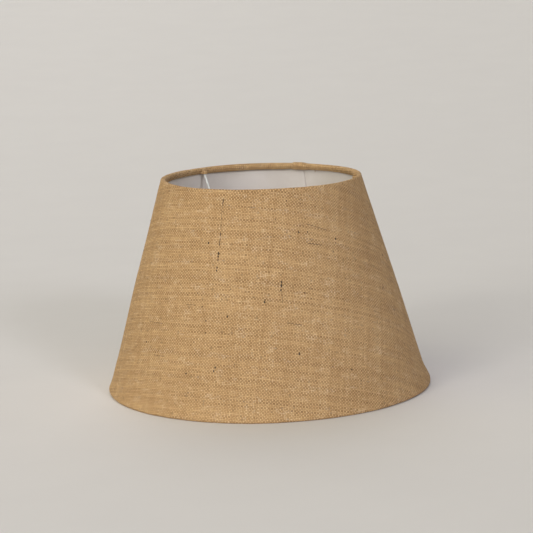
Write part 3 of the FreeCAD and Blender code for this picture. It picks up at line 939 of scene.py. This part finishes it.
steel = steel_material()
tape = tape_material()
for node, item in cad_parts.items():
    if node in ("jute_cover", "pvc_lining"):
        continue
    item.data.materials[0] = tape if "tape" in node else steel


# ---------------------------------------------------------------- studio

SWEEP_FLAT = 0.9                          # radius of the flat middle
SWEEP_EDGE = 12.0                         # radius of the edge
SWEEP_RISE = 1.6                          # height of the edge
FLOOR_GAP = 0.05 * MM


def make_sweep(material, sides=144, rings=26):
    """Seamless paper: flat round the shade and rising gently into a wide dish on every side."""
    radii = [SWEEP_FLAT / 2] + list(np.geomspace(SWEEP_FLAT, SWEEP_EDGE, rings))
    positions, faces = [(0.0, 0.0, -FLOOR_GAP)], []
    for radius in radii:
        level = SWEEP_RISE * (max(radius - SWEEP_FLAT, 0) / (SWEEP_EDGE - SWEEP_FLAT)) ** 1.6
        for side in range(sides):
            angle = 2 * math.pi * side / sides
            positions.append((radius * math.cos(angle), radius * math.sin(angle), level - FLOOR_GAP))
    for side in range(sides):
        after = (side + 1) % sides
        faces.append((0, 1 + side, 1 + after))
        for ring in range(len(radii) - 1):
            a, b = 1 + ring * sides + side, 1 + ring * sides + after
            faces.append((a, a + sides, b + sides, b))
    return mesh_object("studio_sweep", positions, faces, material)


make_sweep(paper_material())


def add_light(name, azimuth, elevation, spread, strength, colour):
    """A distant soft light; azimuth 0 is along +X and 90 along +Y, and spread is its width in degrees."""
    data = bpy.data.lights.new(name, "SUN")
    data.angle = math.radians(spread)
    data.energy = strength
    data.color = colour
    item = bpy.data.objects.new(name, data)
    a, e = math.radians(azimuth), math.radians(elevation)
    away = Vector((math.cos(e) * math.cos(a), math.cos(e) * math.sin(a), math.sin(e)))
    item.location = away * 3
    item.rotation_mode = "QUATERNION"
    item.rotation_quaternion = away.to_track_quat("Z", "Y")
    bpy.context.scene.collection.objects.link(item)


# Name, azimuth, elevation, spread, strength and colour.
LIGHTS = (
    ("key", -127, 24, 18, 0.41, (1.0, 0.98, 0.87)),
    ("low_key", -133, 9.5, 20, 0.66, (1.0, 0.98, 0.87)),
    ("right", -60, 22, 12, 0.74, (0.96, 0.99, 1.08)),
    ("left", -165, 50, 60, 0.72, (1.0, 0.935, 0.58)),
    ("front", -103, 40, 70, 1.07, (1.0, 1.005, 1.06)),
    ("back", 95, 48, 50, 1.0, (1.0, 1.015, 1.05)),
)
for facts in LIGHTS:
    add_light(*facts)

WORLD_STRENGTH = 0.03
WORLD_COLOUR = (1.0, 0.985, 0.965)
world = bpy.data.worlds.new("studio")
world.use_nodes = True
background = world.node_tree.nodes["Background"]
background.inputs["Color"].default_value = (*WORLD_COLOUR, 1.0)
background.inputs["Strength"].default_value = WORLD_STRENGTH
bpy.context.scene.world = world
bpy.context.scene.view_settings.view_transform = "Standard"

# ---------------------------------------------------------------- camera

CAMERA_LENS = 131.7                       # this and the next in millimetres
CAMERA_SENSOR = 36.0
CAMERA_DISTANCE = 2.129
CAMERA_ELEVATION = 10.67                  # this and the next three in degrees
CAMERA_PITCH = 0.409
CAMERA_YAW = -0.058
CAMERA_ROLL = 1.971


def make_camera():
    """Stands in front on -Y, looks at the axis at mid-height, then is pitched, panned and rolled."""
    elevation = math.radians(CAMERA_ELEVATION)
    back = Vector((0, -math.cos(elevation), math.sin(elevation)))
    forward, right = -back, Vector((1, 0, 0))
    up = right.cross(forward)
    pitch = Matrix.Rotation(math.radians(CAMERA_PITCH), 3, right)
    forward, up = pitch @ forward, pitch @ up
    yaw = Matrix.Rotation(math.radians(CAMERA_YAW), 3, up)
    forward, right = yaw @ forward, yaw @ right
    roll = Matrix.Rotation(math.radians(CAMERA_ROLL), 3, forward)
    right, up = roll @ right, roll @ up
    data = bpy.data.cameras.new("camera")
    data.lens = CAMERA_LENS
    data.sensor_width = CAMERA_SENSOR
    data.clip_start = 0.05
    data.clip_end = 50
    item = bpy.data.objects.new("camera", data)
    place = Matrix((right, up, -forward)).transposed().to_4x4()
    place.translation = back * CAMERA_DISTANCE + Vector((0, 0, HEIGHT / 2))
    item.matrix_world = place
    bpy.context.scene.collection.objects.link(item)
    bpy.context.scene.camera = item


make_camera()
